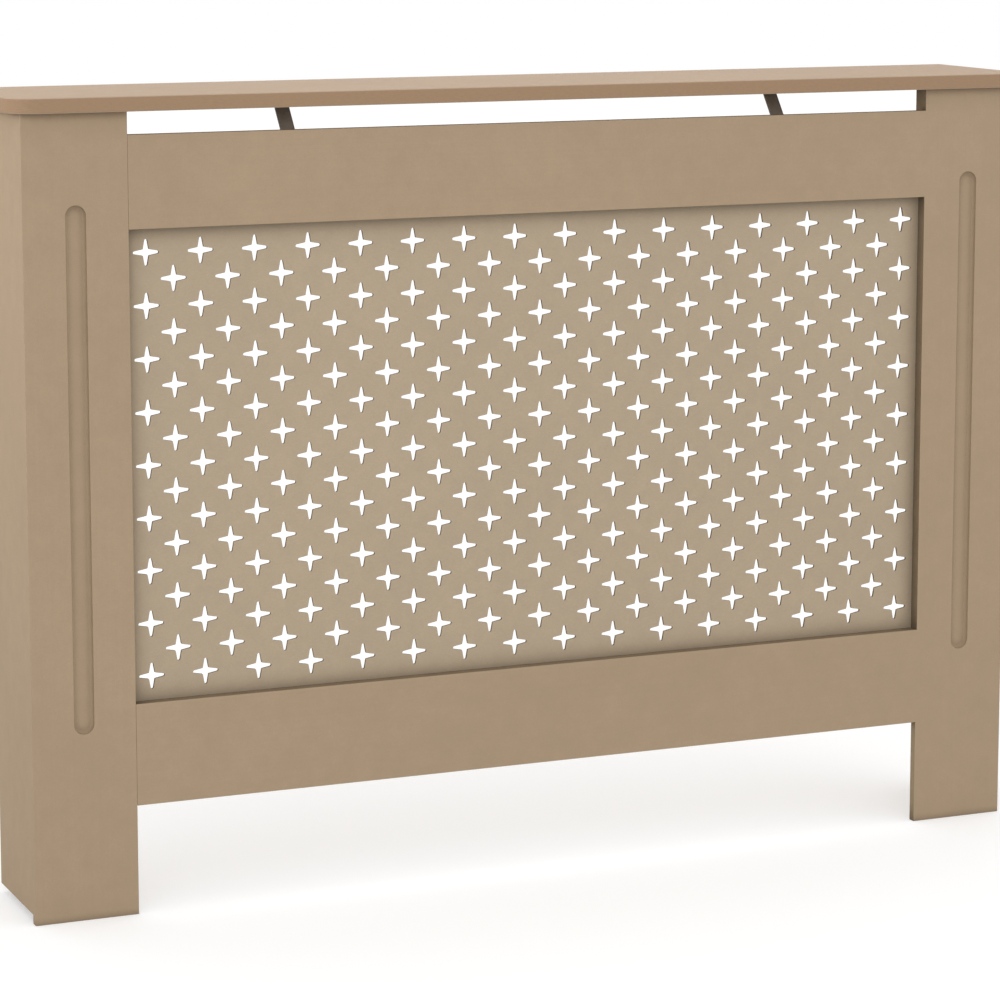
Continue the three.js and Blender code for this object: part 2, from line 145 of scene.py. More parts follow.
class Graph:
    """A short way to write a material's node tree."""

    def __init__(self, name):
        self.material = bpy.data.materials.new(name)
        self.material.use_nodes = True
        self.tree = self.material.node_tree
        self.tree.nodes.clear()
        self.output = self.add("ShaderNodeOutputMaterial")
        self.shader = self.add("ShaderNodeBsdfPrincipled")
        self.link(self.shader.outputs["BSDF"], self.output.inputs["Surface"])

    def add(self, kind, inputs=None, **settings):
        node = self.tree.nodes.new(kind)
        for key, value in settings.items():
            setattr(node, key, value)
        for key, value in (inputs or {}).items():
            self.put(node.inputs[key], value)
        return node

    def put(self, socket, value):
        """Links an output to the socket, or sets a plain value on it."""
        if isinstance(value, bpy.types.NodeSocket):
            self.link(value, socket)
        else:
            socket.default_value = value

    def link(self, output, socket):
        self.tree.links.new(output, socket)

    def position(self, scale=(1, 1, 1), turn=(0, 0, 0)):
        """Object coordinates, scaled and turned."""
        place = self.add("ShaderNodeTexCoord").outputs["Object"]
        mapping = self.add("ShaderNodeMapping", {"Vector": place, "Scale": scale, "Rotation": turn})
        return mapping.outputs["Vector"]

    def noise(self, vector, scale, detail=2.0, roughness=0.5, distortion=0.0):
        settings = {"Vector": vector, "Scale": scale, "Detail": detail, "Roughness": roughness,
                    "Distortion": distortion}
        return self.add("ShaderNodeTexNoise", settings).outputs["Fac"]

    def math(self, operation, a, b=0.0, clamp=False):
        node = self.add("ShaderNodeMath", operation=operation, use_clamp=clamp)
        self.put(node.inputs[0], a)
        self.put(node.inputs[1], b)
        return node.outputs["Value"]

    def sum(self, a, b, clamp=False):
        return self.math("ADD", a, b, clamp)

    def product(self, a, b, clamp=False):
        return self.math("MULTIPLY", a, b, clamp)

    def spread(self, value, from_range, to_range):
        settings = {"Value": value, "From Min": from_range[0], "From Max": from_range[1],
                    "To Min": to_range[0], "To Max": to_range[1]}
        return self.add("ShaderNodeMapRange", settings).outputs["Result"]

    def level(self, noise, to_range):
        return self.spread(noise, NOISE_RANGE, to_range)

    def mix(self, factor, a, b):
        """Colour `a` where the factor is 0 and `b` where it is 1."""
        node = self.add("ShaderNodeMix", data_type="RGBA")
        for index, value in ((0, factor), (6, a), (7, b)):  # its sockets for a factor and two colours
            self.put(node.inputs[index], value)
        return node.outputs[2]

    def tinted(self, colour, value):
        """The colour, brightened or darkened to `value` times its own."""
        return self.add("ShaderNodeHueSaturation", {"Color": colour, "Value": value}).outputs["Color"]

    def bump(self, height, strength_and_distance, normal=None):
        strength, distance = strength_and_distance
        node = self.add("ShaderNodeBump", {"Height": height, "Strength": strength, "Distance": distance})
        if normal is not None:
            self.link(normal, node.inputs["Normal"])
        return node.outputs["Normal"]

    def part_of(self, vector, axis):
        return self.add("ShaderNodeSeparateXYZ", {"Vector": vector}).outputs[axis]

    def painted_corner_shade(self, reach, depth):
        """Painted corner shade from an occlusion lookup: 0 in the open to `depth` at the foot of a wall
        taller than `reach`.
        """
        sky = self.add("ShaderNodeAmbientOcclusion", {"Distance": reach}, samples=OPENNESS_SAMPLES)
        return self.spread(sky.outputs["AO"], OPENNESS_RANGE, (depth, 0.0))

    def finish(self, **inputs):
        """Fills the shader's sockets, whose names have _ for a space here, and gives the material."""
        for key, value in inputs.items():
            self.put(self.shader.inputs[key.replace("_", " ")], value)
        return self.material


def srgb(red, green, blue):
    """A colour written as 0 to 255 sRGB, in the linear values that a socket takes."""
    def linear(level):
        level /= 255
        return level / 12.92 if level <= 0.04045 else ((level + 0.055) / 1.055) ** 2.4
    return (linear(red), linear(green), linear(blue), 1.0)


def shades(colour, shares):
    """The colour's dark and pale shades, from a pair of shares of it."""
    return [[min(1.0, level * share) for level in colour[:3]] + [1.0] for share in shares]


def stretched(axis, scale):
    """A texture scale of 1, but `scale` along `axis`. Under 1 it draws the texture out that way."""
    return tuple(scale if letter == axis else 1.0 for letter in "XYZ")


FIBRES_LENGTHWAYS = 1500.0
FIBRES_CROSSWAYS = 1300.0
FIBRE_STRETCH = 0.22
FIBRE_TURN = (0.4, 0.7, 0.2)  # x, y, z in radians, so that the two layers of fibres cross
FIBRE_WOBBLE = 0.6
FIBRE_RANGE = (0.36, 0.64)
FIBRE_DARKENS = 0.07
FIBRE_BRIGHTENS = 0.06
DUST = 3800.0
DUST_DEPTH = 0.03
CLOUDS = 7.0
CLOUD_TONE = (-0.10, 0.10)  # tones are shares of the way from the dark shade to the pale one
PATCHES = 55.0
PATCH_TONE = (0.38, 0.62)
FACE_SHADES = (0.90, 1.10)
SANDING_STREAKS = 380.0
SANDING_STRETCH = 0.012
SANDING_DEPTH = 0.010

CRUMBS = 2600.0
CRUMB_TONE = (-0.25, 0.25)
CORE_LAYERS = 190.0
CORE_LAYER_SQUASH = 9.0  # the pressed layers lie flat in the board
CORE_LAYER_TONE = (0.3, 0.7)
CUT_SHADES = (0.82, 1.15)
CUT_FACING = (0.25, 0.75)  # an eased arris turns from cut edge to face in this range of its normal

CUT_CORNER_SHADE = (28.0 * MM, 0.52)  # (reach, depth) of the painted shade in a tight corner
FACE_CORNER_SHADE = (9.0 * MM, 0.312)
PANEL_CORNER_SHADE = (20.0 * MM, 0.26)

BOARD_ROUGHNESS = (0.76, 0.86)
CUT_EXTRA_ROUGHNESS = 0.08
CRUMB_RELIEF = 1.2  # of the fibres'
FINE_BUMP = (0.25, 0.12 * MM)  # (strength, distance)
WAVY_BUMP = (0.12, 0.6 * MM)
BOARD_SPECULAR = 0.25


def board_fibres(g):
    """Two layers of short crossing fibres, as one noise."""
    lengthways = g.noise(g.position(stretched("Z", FIBRE_STRETCH)), FIBRES_LENGTHWAYS,
                         roughness=0.65, distortion=FIBRE_WOBBLE)
    crossways = g.noise(g.position(stretched("X", FIBRE_STRETCH), FIBRE_TURN), FIBRES_CROSSWAYS,
                        roughness=0.65, distortion=FIBRE_WOBBLE)
    return g.sum(g.product(lengthways, 0.5), g.product(crossways, 0.5))


def board_face(g, colour, here, fibres, patches, sanding_axis, fleck):
    """A sanded face's colour: clouds and patches of tone, fibres, dust and faint sanding streaks."""
    clouds = g.noise(here, CLOUDS, detail=3.0, roughness=0.55)
    tone = g.sum(g.level(clouds, CLOUD_TONE), g.level(patches, PATCH_TONE), clamp=True)
    value = g.spread(fibres, FIBRE_RANGE, (1 - FIBRE_DARKENS * fleck, 1 + FIBRE_BRIGHTENS * fleck))
    if sanding_axis:
        streaks = g.noise(g.position(stretched(sanding_axis, SANDING_STRETCH)), SANDING_STREAKS,
                          detail=3.0, roughness=0.6)
        value = g.product(value, g.level(streaks, (1 - SANDING_DEPTH, 1 + SANDING_DEPTH)))
    dust = g.noise(here, DUST, detail=1.0)
    value = g.product(value, g.level(dust, (1 - DUST_DEPTH * fleck, 1 + DUST_DEPTH * fleck)))
    return g.tinted(g.mix(tone, *shades(colour, FACE_SHADES)), value)


def board_cut(g, colour, crumbs, thickness_axis):
    """A cut edge's colour: crumbs and the pressed layers of the board's core."""
    layers = g.noise(g.position(stretched(thickness_axis, CORE_LAYER_SQUASH)), CORE_LAYERS,
                     detail=3.0, roughness=0.6)
    tone = g.sum(g.level(crumbs, CRUMB_TONE), g.level(layers, CORE_LAYER_TONE), clamp=True)
    return g.mix(tone, *shades(colour, CUT_SHADES))


def cut_mask(g, here, thickness_axis, sanded_beyond):
    """1 on the cut edges and 0 on the faces, and 0 beyond `sanded_beyond` if that is given."""
    normal = g.add("ShaderNodeNewGeometry").outputs["True Normal"]
    facing = g.math("ABSOLUTE", g.part_of(normal, thickness_axis))
    is_cut = g.spread(facing, CUT_FACING, (1.0, 0.0))
    if sanded_beyond is not None:
        off_middle = g.math("ABSOLUTE", g.part_of(here, "X"))
        is_cut = g.product(is_cut, g.math("LESS_THAN", off_middle, sanded_beyond))
    return is_cut


def fibreboard(name, face, edge, thickness_axis, sanding_axis, fleck=1.0, sanded_beyond=None,
               face_corner_shade=FACE_CORNER_SHADE):
    """Sanded fibreboard: short pale and dark fibres in the face, a browner and rougher cut edge.

    Sanding streaks run along `sanding_axis`. Edges further than `sanded_beyond` from the cabinet's
    middle are sanded as smooth as the face. Both get painted shade in tight corners.
    """
    g = Graph(name)
    here = g.position()
    patches = g.noise(here, PATCHES, detail=3.0, roughness=0.6)
    crumbs = g.noise(here, CRUMBS, roughness=0.7)
    fibres = board_fibres(g)
    is_cut = cut_mask(g, here, thickness_axis, sanded_beyond)

    surface = board_face(g, face, here, fibres, patches, sanding_axis, fleck)
    # painted shade: the face darkens towards black at the foot of nearby walls
    surface = g.mix(g.painted_corner_shade(*face_corner_shade), surface, BLACK)
    cut = board_cut(g, edge, crumbs, thickness_axis)
    # painted shade: cut edges in recesses darken further and over a wider reach
    cut = g.mix(g.painted_corner_shade(*CUT_CORNER_SHADE), cut, BLACK)

    rough = g.sum(g.level(fibres, BOARD_ROUGHNESS), g.product(is_cut, CUT_EXTRA_ROUGHNESS))
    grain = g.sum(fibres, g.product(crumbs, g.product(is_cut, CRUMB_RELIEF)))
    relief = g.bump(patches, WAVY_BUMP, normal=g.bump(grain, FINE_BUMP))
    return g.finish(Base_Color=g.mix(is_cut, surface, cut), Roughness=rough, Normal=relief,
                    Specular_IOR_Level=BOARD_SPECULAR)


GRAIN_STRETCH = 0.035
GRAIN_TURN = (0.05, 0.08, 0.03)  # x, y, z in radians, so that no ring lies quite along a face
GRAIN_WANDER = 30.0
GRAIN_WANDER_TONE = (0.95, 1.05)
RING_WARP = {"Distortion": 2.2, "Detail": 2.0, "Detail Scale": 0.7}
LATE_WOOD_POWER = 2.2  # over 1 it narrows the dark part of each ring
LATE_WOOD_SHARE = 0.8
PORES = 2400.0
PORE_STRETCH = 0.02
PORE_TONE = (0.90, 1.08)
TIMBER_ROUGHNESS = (0.55, 0.75)
RING_RELIEF = 0.5  # of the pores'
TIMBER_BUMP = (0.3, 0.15 * MM)  # (strength, distance)
TIMBER_SPECULAR = 0.35


def timber(name, early, late, along, ring_scale, ring_depth=1.0):
    """Planed wood: growth rings stretched along the grain, fine pores and a slight shine."""
    g = Graph(name)
    grain = g.position(stretched(along, GRAIN_STRETCH), GRAIN_TURN)
    wander = g.noise(grain, GRAIN_WANDER, detail=3.0)
    rings = g.add("ShaderNodeTexWave", {"Vector": grain, "Scale": ring_scale} | RING_WARP,
                  wave_type="RINGS", rings_direction=along, wave_profile="SAW").outputs["Fac"]
    pores = g.noise(g.position(stretched(along, PORE_STRETCH)), PORES, detail=3.0, roughness=0.6)
    band = g.product(g.math("POWER", rings, LATE_WOOD_POWER), ring_depth)
    colour = g.mix(g.product(band, LATE_WOOD_SHARE, clamp=True), early, late)
    value = g.product(g.level(pores, PORE_TONE), g.level(wander, GRAIN_WANDER_TONE))
    relief = g.bump(g.sum(g.product(band, RING_RELIEF), pores), TIMBER_BUMP)
    return g.finish(Base_Color=g.tinted(colour, value), Roughness=g.level(pores, TIMBER_ROUGHNESS),
                    Normal=relief, Specular_IOR_Level=TIMBER_SPECULAR)


COATING_PEEL = 2200.0
COATING_CLOUDS = 120.0
COATING_SHADES = (1.0, 1.25)
COATING_ROUGHNESS = (0.40, 0.56)
COATING_METALLIC = 0.15
COATING_BUMP = (0.15, 0.1 * MM)  # (strength, distance)
SCUFFS = 1800.0
SCUFF_SCALE = (1.0, 0.08, 0.08)  # x, y, z
SCUFF_TURN = (0.6, 0.0, 0.0)
SCUFF_RANGE = (0.60, 0.72)
SCUFF_DEPTH = (0.0, 0.5)
SCUFF_ROUGHNESS = 0.2


def coated_steel(name, base, worn):
    """Dark coated strip: fine orange peel, cloudy patches and faint paler scuffs."""
    g = Graph(name)
    here = g.position()
    peel = g.noise(here, COATING_PEEL)
    clouds = g.noise(here, COATING_CLOUDS, detail=3.0, roughness=0.6)
    scuffs = g.noise(g.position(SCUFF_SCALE, SCUFF_TURN), SCUFFS, detail=3.0, roughness=0.7)
    marks = g.spread(scuffs, SCUFF_RANGE, SCUFF_DEPTH)
    colour = g.mix(g.level(clouds, (0.0, 1.0)), *shades(base, COATING_SHADES))
    rough = g.sum(g.level(clouds, COATING_ROUGHNESS), g.product(marks, SCUFF_ROUGHNESS))
    return g.finish(Base_Color=g.mix(marks, colour, worn), Roughness=rough, Metallic=COATING_METALLIC,
                    Normal=g.bump(g.sum(peel, scuffs), COATING_BUMP))


ZINC_CRYSTALS = 420.0
CRYSTAL_TONE = (0.90, 1.06)
CRYSTAL_ROUGHNESS = (-0.04, 0.04)
ZINC_FILM = 260.0
FILM_TONE = (0.92, 1.04)
FILM_ROUGHNESS = (0.30, 0.46)
RUBBING = 2600.0
RUBBING_STRETCH = 0.1
ZINC_BUMP = (0.12, 0.06 * MM)  # (strength, distance)
ZINC_METALLIC = 0.9


def zinc_plate(name, base):
    """Zinc plating: soft crystalline patches, a dull sheen and light handling marks."""
    g = Graph(name)
    here = g.position()
    cells = g.add("ShaderNodeTexVoronoi", {"Vector": here, "Scale": ZINC_CRYSTALS}).outputs["Color"]
    crystals = g.part_of(cells, "X")
    film = g.noise(here, ZINC_FILM, detail=3.0, roughness=0.6)
    rubbed = g.noise(g.position(stretched("Z", RUBBING_STRETCH)), RUBBING, roughness=0.6)
    whole = (0.0, 1.0)
    value = g.product(g.spread(crystals, whole, CRYSTAL_TONE), g.level(film, FILM_TONE))
    rough = g.sum(g.level(film, FILM_ROUGHNESS), g.spread(crystals, whole, CRYSTAL_ROUGHNESS))
    return g.finish(Base_Color=g.tinted(base, value), Roughness=rough, Metallic=ZINC_METALLIC,
                    Normal=g.bump(rubbed, ZINC_BUMP))


FACE = srgb(171, 149, 123)
EDGE = srgb(152, 133, 107)
SHELF_FACE = srgb(180, 158, 136)
SHELF_EDGE = srgb(161, 133, 106)
PANEL_FACE = srgb(180, 162, 138)
PANEL_EDGE = srgb(146, 128, 103)
STILE_INNER_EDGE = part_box("stile_right")[0].x + 2 * EDGE_EASE  # routed and outer edges lie beyond it

mdf_upright = fibreboard("mdf_upright", FACE, EDGE, "Y", "Z", fleck=0.5, sanded_beyond=STILE_INNER_EDGE)
mdf_rail = fibreboard("mdf_rail", FACE, EDGE, "Y", "X", fleck=0.5)
mdf_side = fibreboard("mdf_side", FACE, EDGE, "X", "Z", fleck=0.5)
mdf_shelf = fibreboard("mdf_shelf", SHELF_FACE, SHELF_EDGE, "Z", "X")
# the grille panel sits in a recess, so its painted corner shade reaches further
hardboard = fibreboard("hardboard", PANEL_FACE, PANEL_EDGE, "Y", None, fleck=0.7, face_corner_shade=PANEL_CORNER_SHADE)
pine_upright = timber("pine_upright", srgb(214, 182, 136), srgb(178, 134, 86), "Z", ring_scale=95.0)
pine_cleat = timber("pine_cleat", srgb(210, 178, 132), srgb(176, 132, 84), "Y", ring_scale=95.0)
beech = timber("beech", srgb(216, 184, 146), srgb(196, 160, 120), "X", ring_scale=240.0, ring_depth=0.5)
dark_steel = coated_steel("dark_steel", srgb(110, 102, 93), srgb(146, 137, 127))
zinc_steel = zinc_plate("zinc_steel", srgb(176, 176, 172))

# ---------------------------------------------------------------------------------------------------
# Mesh helpers
# ---------------------------------------------------------------------------------------------------


def piece(bm, name, material, slot, *nodes):
    """Turns a bmesh into a finished piece that rides on the cabinet and stands for its CAD nodes."""
    bmesh.ops.remove_doubles(bm, verts=bm.verts, dist=MERGE_DISTANCE)
    place(closed_mesh(bm, name), name, material, slot, *nodes)


def closed_mesh(bm, name):
    """The bmesh as a mesh with its faces turned outwards. It frees the bmesh."""
    bmesh.ops.recalc_face_normals(bm, faces=bm.faces)
    mesh = bpy.data.meshes.new(name)
    bm.to_mesh(mesh)
    bm.free()
    return mesh


def place(mesh, name, material, slot, *nodes):
    """Puts a mesh into the scene as the dressed piece for its CAD nodes."""
    mesh.materials.clear()
    mesh.materials.append(material)
    mesh.shade_smooth()
    mesh.set_sharp_from_angle(angle=SMOOTH_BELOW)
    obj = bpy.data.objects.new(name, mesh)
    bpy.context.scene.collection.objects.link(obj)
    flatten_shading(obj)
    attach(obj, "root")
    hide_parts(*nodes)


def flatten_shading(obj):
    """Keeps flat faces flat beside their eased edges."""
    modifier = obj.modifiers.new("flat_faces", "WEIGHTED_NORMAL")
    modifier.keep_sharp = True


def dress(node, material, ease):
    """Gives a CAD node its material and eases its square edges."""
    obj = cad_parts[node]
    obj.data.materials.clear()
    obj.data.materials.append(material)
    weld = obj.modifiers.new("weld", "WELD")
    weld.merge_threshold = WELD_DISTANCE
    bevel = obj.modifiers.new("ease", "BEVEL")
    bevel.width = ease
    bevel.segments = EASE_STEPS
    bevel.limit_method = "ANGLE"
    bevel.angle_limit = CAD_EDGE
    flatten_shading(obj)


def middle_of(edge):
    return (edge.verts[0].co + edge.verts[1].co) / 2


def ease_edges(bm, edges, ease):
    bmesh.ops.bevel(bm, geom=edges, offset=ease, offset_type="OFFSET", segments=EASE_STEPS,
                    profile=0.5, affect="EDGES")


def eased_box(low, high, ease, keep_sharp=lambda middle: False):
    """A box whose edges are eased, but for those whose middle `keep_sharp` picks out."""
    bm = bmesh.new()
    bmesh.ops.create_cube(bm, size=1.0)
    size = high - low
    bmesh.ops.scale(bm, vec=size, verts=bm.verts)
    bmesh.ops.translate(bm, vec=(low + high) / 2, verts=bm.verts)
    ease_edges(bm, [edge for edge in bm.edges if not keep_sharp(middle_of(edge))], ease)
    return bm


def extruded(outline, lift, ease, keep_sharp=lambda middle: False):
    """A flat outline, a list of 3-D points, pushed along `lift`, with its square edges eased."""
    bm = bmesh.new()
    base = bm.faces.new([bm.verts.new(point) for point in outline])
    swept = bmesh.ops.extrude_face_region(bm, geom=[base], use_keep_orig=True)
    moved = [g for g in swept["geom"] if isinstance(g, bmesh.types.BMVert)]
    bmesh.ops.translate(bm, vec=lift, verts=moved)
    bmesh.ops.recalc_face_normals(bm, faces=bm.faces)
    rims = [edge for edge in bm.edges if edge.calc_face_angle(0.0) > OUTLINE_EDGE]
    ease_edges(bm, [edge for edge in rims if not keep_sharp(middle_of(edge))], ease)
    return bm


def arc(centre, radius, start, stop, steps):
    """Points on a circle in 2-D, both ends included; angles in degrees."""
    points = []
    for i in range(steps + 1):
        angle = math.radians(start + (stop - start) * i / steps)
        points.append((centre[0] + radius * math.cos(angle), centre[1] + radius * math.sin(angle)))
    return points


def quarter_turn(steps):
    """Angles from 0 to a right angle, both included."""
    return [math.pi / 2 * i / steps for i in range(steps + 1)]


def bridge(bm, first, second):
    """Quads between two closed loops of the same length."""
    count = len(first)
    for i in range(count):
        j = (i + 1) % count
        bm.faces.new((first[i], first[j], second[j], second[i]))


def lofted(bm, loops):
    """Quads from loop to loop and a cap at each end."""
    for one, other in zip(loops, loops[1:]):
        bridge(bm, one, other)
    bm.faces.new(loops[0])
    bm.faces.new(loops[-1])


def loop_edges(bm, loop):
    """A closed loop's edges, which are made where they are missing."""
    edges = []
    for i, vert in enumerate(loop):
        following = loop[(i + 1) % len(loop)]
        edges.append(bm.edges.get((vert, following)) or bm.edges.new((vert, following)))
    return edges


# ---------------------------------------------------------------------------------------------------
# Boards
# ---------------------------------------------------------------------------------------------------


def make_shelf():
    low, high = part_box("shelf")
    r = SHELF_CORNER
    plan = [(low.x, high.y)]
    plan += arc((low.x + r, low.y + r), r, 180, 270, ARC_STEPS)
    plan += arc((high.x - r, low.y + r), r, 270, 360, ARC_STEPS)
    plan.append((high.x, high.y))
    outline = [Vector((x, y, low.z)) for x, y in plan]
    bm = extruded(outline, Vector((0, 0, high.z - low.z)), SHELF_EASE)
    piece(bm, "shelf_board", mdf_shelf, "mdf_shelf", "shelf")


def make_rails():
    """The right ends stay sharp: that joint is sanded flush, and a fine line shows at the left one."""
    for node in ("top_rail", "bottom_rail"):
        low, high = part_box(node)
        bm = eased_box(low, high, EDGE_EASE, lambda middle: middle.x > high.x - EDGE_EASE)
        piece(bm, node + "_board", mdf_rail, "mdf", node)


def stadium(middle_x, low_z, high_z, radius):
    """A round-ended slot's outline in (x, z)."""
    steps = 2 * ARC_STEPS
    lower = arc((middle_x, low_z), radius, 180, 360, steps)
    upper = arc((middle_x, high_z), radius, 0, 180, steps)
    return lower + upper


def flute_profile():
    """(inset from the groove's edge, depth) pairs from the board's face down to the groove's floor."""
    rim = [(-FLUTE_RIM * (1 - math.sin(a)), FLUTE_RIM * (1 - math.cos(a)))
           for a in quarter_turn(FLUTE_RIM_STEPS)]
    r = FLUTE_CORNER
    corner = [(r * (1 - math.cos(a)), FLUTE_DEPTH - r + r * math.sin(a))
              for a in quarter_turn(FLUTE_CORNER_STEPS)]
    return rim + corner


def make_stile(side):
    """An upright with its routed groove. Its back is sharp, where it is glued to the layer behind."""
    node = "stile_" + side
    low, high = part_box(node)
    radius = FLUTE_WIDTH / 2
    middle = (low.x + high.x) / 2
    floor_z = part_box("bottom_rail")[1].z - FLUTE_OVERRUN + radius
    ceiling_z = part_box("top_rail")[0].z + FLUTE_OVERRUN - radius

    def kept_sharp(edge_middle):
        flush_joint = side == "right" and edge_middle.x < low.x + EDGE_EASE
        return flush_joint or edge_middle.y > high.y - EDGE_EASE

    bm = eased_box(low, high, EDGE_EASE, kept_sharp)
    front = min(bm.faces, key=lambda face: face.normal.y * face.calc_area())
    border = list(front.edges)
    bmesh.ops.delete(bm, geom=[front], context="FACES_ONLY")
    rings = []
    for inset, depth in flute_profile():
        shape = stadium(middle, floor_z, ceiling_z, radius - inset)
        rings.append([bm.verts.new((x, low.y + depth, z)) for x, z in shape])
    for outer, inner in zip(rings, rings[1:]):
        bridge(bm, outer, inner)
    bm.faces.new(rings[-1])
    bmesh.ops.triangle_fill(bm, edges=border + loop_edges(bm, rings[0]), use_beauty=True)
    piece(bm, node + "_board", mdf_upright, "mdf", node)


def make_side(side):
    """A side panel, cut out for a skirting board. Its front is sharp, where it meets the stile."""
    node = "side_panel_" + side
    low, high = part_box(node)
    notch_front = high.y - NOTCH_DEPTH
    notch_top = low.z + NOTCH_STRAIGHT
    profile = [(low.y, low.z), (notch_front, low.z)]
    profile += arc((high.y, notch_top), NOTCH_DEPTH, 180, 90, ARC_STEPS)
    profile += [(high.y, high.z), (low.y, high.z)]
    outline = [Vector((low.x, y, z)) for y, z in profile]
    bm = extruded(outline, Vector((high.x - low.x, 0, 0)), EDGE_EASE,
                  lambda middle: middle.y < low.y + EDGE_EASE)
    piece(bm, node + "_board", mdf_side, "mdf", node)


# ---------------------------------------------------------------------------------------------------
# Grille panel
# ---------------------------------------------------------------------------------------------------


def star_outline():
    """A four-pointed star about the origin: round tips, straight flanks, small round inner corners."""
    centre = STAR_REACH - STAR_TIP
    run, rise = centre - STAR_WAIST, STAR_WAIST
    lean = math.atan2(rise, run) - math.asin(STAR_TIP / math.hypot(run, rise))
    tip_turn = 90 - math.degrees(lean)
    quarter = arc((centre, 0), STAR_TIP, -tip_turn, tip_turn, STAR_TIP_STEPS)
    corner = Vector((STAR_WAIST, STAR_WAIST))
    to_tip = (Vector(quarter[-1]) - corner).normalized()
    to_next = Vector((to_tip.y, to_tip.x))
    start = corner + to_tip * STAR_INNER_ROUND
    stop = corner + to_next * STAR_INNER_ROUND
    soft = start.lerp(corner, 0.5).lerp(corner.lerp(stop, 0.5), 0.5)
    quarter += [tuple(start), tuple(soft), tuple(stop)]
    outline = []
    for turn in range(4):
        spin = Matrix.Rotation(turn * math.pi / 2, 2)
        outline += [spin @ Vector(point) for point in quarter]
    return outline


def grown(outline, distance):
    """The outline moved outwards by `distance`."""
    count = len(outline)
    result = []
    for i, point in enumerate(outline):
        along = outline[(i + 1) % count] - outline[i - 1]
        result.append(point + Vector((along.y, -along.x)).normalized() * distance)
    return result


def star_centres(middle_x, middle_z):
    """Full rows alternate with rows shifted by half a pitch that hold one star fewer."""
    for line in range(2 * STAR_ROWS - 1):
        count = STAR_COLUMNS if line % 2 == 0 else STAR_COLUMNS - 1
        z = middle_z + (line - STAR_ROWS + 1) * STAR_PITCH_Z / 2
        for i in range(count):
            yield Vector((middle_x + (i - (count - 1) / 2) * STAR_PITCH_X, z))


def make_grille():
    """The panel with its stars cut through it, each with a slightly eased rim on both faces."""
    low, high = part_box("grille_panel")
    middle = (low + high) / 2
    sharp = star_outline()
    eased = grown(sharp, STAR_EASE)
    layers = [(eased, low.y), (sharp, low.y + STAR_EASE), (sharp, high.y - STAR_EASE), (eased, high.y)]
    bm = bmesh.new()
    rims = {low.y: [], high.y: []}
    for centre in star_centres(middle.x, middle.z):
        loops = []
        for outline, y in layers:
            loops.append([bm.verts.new((centre.x + p.x, y, centre.y + p.y)) for p in outline])
        for outer, inner in zip(loops, loops[1:]):
            bridge(bm, outer, inner)
        rims[low.y] += loop_edges(bm, loops[0])
        rims[high.y] += loop_edges(bm, loops[-1])
    corners = [(low.x, low.z), (high.x, low.z), (high.x, high.z), (low.x, high.z)]
    borders = {y: [bm.verts.new((x, y, z)) for x, z in corners] for y in rims}
    bridge(bm, *borders.values())
    for y, edges in rims.items():
        bmesh.ops.triangle_fill(bm, edges=edges + loop_edges(bm, borders[y]), use_beauty=True)
    piece(bm, "grille_panel_board", hardboard, "hardboard", "grille_panel")


# ---------------------------------------------------------------------------------------------------
# Steel strips
# ---------------------------------------------------------------------------------------------------


def bent_path(corners, radius):
    """(point, direction) stations along a 2-D polyline whose corners are rounded to `radius`."""
    stations = [(corners[0], (corners[1] - corners[0]).normalized())]
    for before, corner, after in zip(corners, corners[1:], corners[2:]):
        incoming = (corner - before).normalized()
        outgoing = (after - corner).normalized()
        turn = math.atan2(incoming.x * outgoing.y - incoming.y * outgoing.x, incoming.dot(outgoing))
        tangent = radius * math.tan(abs(turn) / 2)
        side = math.copysign(1, turn)
        centre = corner - incoming * tangent + Vector((-incoming.y, incoming.x)) * radius * side
        for i in range(BEND_STEPS + 1):
            spin = Matrix.Rotation(turn * i / BEND_STEPS, 2)
            direction = spin @ incoming
            point = centre - Vector((-direction.y, direction.x)) * radius * side
            stations.append((point, direction))
    stations.append((corners[-1], (corners[-1] - corners[-2]).normalized()))
    return stations


def strip_section(half_width, half_gauge, ease):
    """The strip's cross-section with eased arrises, as (across, through) pairs."""
    w, t = half_width, half_gauge
    section = []
    for sx, sy, start in ((1, 1, 0), (-1, 1, 90), (-1, -1, 180), (1, -1, 270)):
        corner = (sx * (w - ease), sy * (t - ease))
        section += arc(corner, ease, start, start + 90, STRIP_ARRIS_STEPS)
    return section


def sweep_strip(corners, width, bend, end_round, to_world):
    """A bent steel strip with rounded end corners, along a polyline in the plane of its bends.

    `to_world` maps (first, second, across) to a 3-D point: the plane's two coordinates, then the width.
    """
    half = width / 2
    stations = bent_path(corners, bend)
    bm = bmesh.new()
    loops = []

    def ring(point, direction, half_width):
        normal = Vector((-direction.y, direction.x))
        verts = []
        for across, through in strip_section(half_width, STEEL_GAUGE / 2, STEEL_EASE):
            flat = point + normal * through
            verts.append(bm.verts.new(to_world(flat.x, flat.y, across)))
        loops.append(verts)

    def rounded_end(station, inwards, angles):
        point, direction = station
        for angle in angles:
            step = direction * inwards * end_round * (1 - math.cos(angle))
            ring(point + step, direction, half - end_round * (1 - math.sin(angle)))

    angles = quarter_turn(STRIP_END_STEPS)
    rounded_end(stations[0], 1, angles)
    for point, direction in stations[1:-1]:
        ring(point, direction, half)
    rounded_end(stations[-1], -1, angles[::-1])
    lofted(bm, loops)
    return bm


